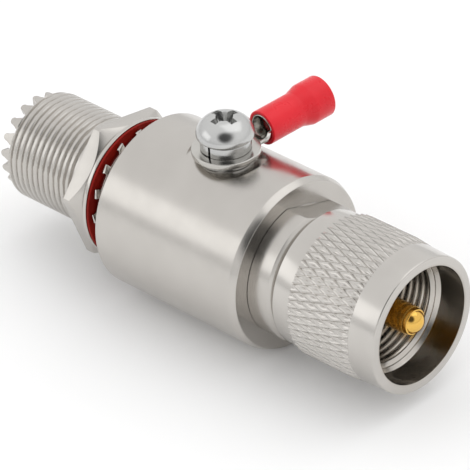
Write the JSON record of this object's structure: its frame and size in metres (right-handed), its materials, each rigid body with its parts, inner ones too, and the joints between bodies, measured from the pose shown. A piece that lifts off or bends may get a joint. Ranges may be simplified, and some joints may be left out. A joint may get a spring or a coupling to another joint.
{
  "type": "coax lightning arrestor",
  "caption": "In-line coaxial lightning arrestor: threaded socket with bulkhead nut, plug with knurled coupling nut, gas tube inside, ground screw with ring terminal.",
  "frame": {"origin": "on the coaxial axis, in the plane of the housing face that seats on a panel", "axes": "+X along the coaxial axis towards the plug and its coupling nut, +Z towards the ground screw"},
  "size_m": [0.0726, 0.0301, 0.0311],
  "materials": {
    "nickel": "bright nickel plate on brass",
    "zinc_steel": "bright plated steel",
    "red_rubber": "matt silicone rubber",
    "ptfe": "satin fluoropolymer",
    "gold": "bright gold plate",
    "bronze": "satin phosphor bronze",
    "ceramic": "matt glazed ceramic",
    "tinned_copper": "bright tin plate",
    "red_vinyl": "semi-gloss soft vinyl"
  },
  "bodies": {
    "arrestor": {"main_housing": "nickel", "male_body": "nickel", "retaining_ring": "zinc_steel", "male_insulator": "ptfe", "centre_pin": "gold", "centre_conductor": "bronze", "socket_contact": "gold", "female_insulator": "ptfe", "gas_tube_ceramic": "ceramic", "gas_tube_inner_electrode": "tinned_copper", "gas_tube_outer_electrode": "tinned_copper", "gas_tube_clip": "bronze", "flat_washer": "zinc_steel"},
    "coupling": {"coupling_nut": "nickel"},
    "panel_washer": {"backing_washer": "zinc_steel", "panel_gasket": "red_rubber", "lock_washer": "zinc_steel"},
    "panel_nut": {"mounting_nut": "nickel"},
    "spring_washer": {"split_washer": "zinc_steel"},
    "screw": {"ground_screw": "zinc_steel"},
    "terminal": {"ring_terminal": "tinned_copper", "terminal_sleeve": "red_vinyl"}
  },
  "joints": [
    {"name": "coupling_spin", "type": "hinge", "parent": "arrestor", "child": "coupling", "pos_m": [0.0391, 0, 0], "axis": [1, 0, 0], "continuous": true},
    {"name": "nut_travel", "type": "slide", "parent": "arrestor", "child": "panel_washer", "axis": [-1, 0, 0], "range_m": [-0.0025, 0.013]},
    {"name": "nut_spin", "type": "hinge", "parent": "panel_washer", "child": "panel_nut", "pos_m": [-0.006, 0, 0], "axis": [-1, 0, 0], "range_deg": [-851, 4423]},
    {"name": "screw_travel", "type": "slide", "parent": "arrestor", "child": "spring_washer", "axis": [0, 0, 1], "range_m": [0, 0.003]},
    {"name": "screw_spin", "type": "hinge", "parent": "spring_washer", "child": "screw", "pos_m": [0.0138, 0, 0.0151], "axis": [0, 0, 1], "range_deg": [0, 1544]},
    {"name": "terminal_swivel", "type": "hinge", "parent": "arrestor", "child": "terminal", "pos_m": [0.0138, 0, 0.0134], "axis": [0, 0, 1], "range_deg": [-25, 25]}
  ],
  "couplings": [
    {"joint": "nut_spin", "follows": "nut_travel", "rad_per_m": 5937.1},
    {"joint": "screw_spin", "follows": "screw_travel", "rad_per_m": 8976}
  ]
}
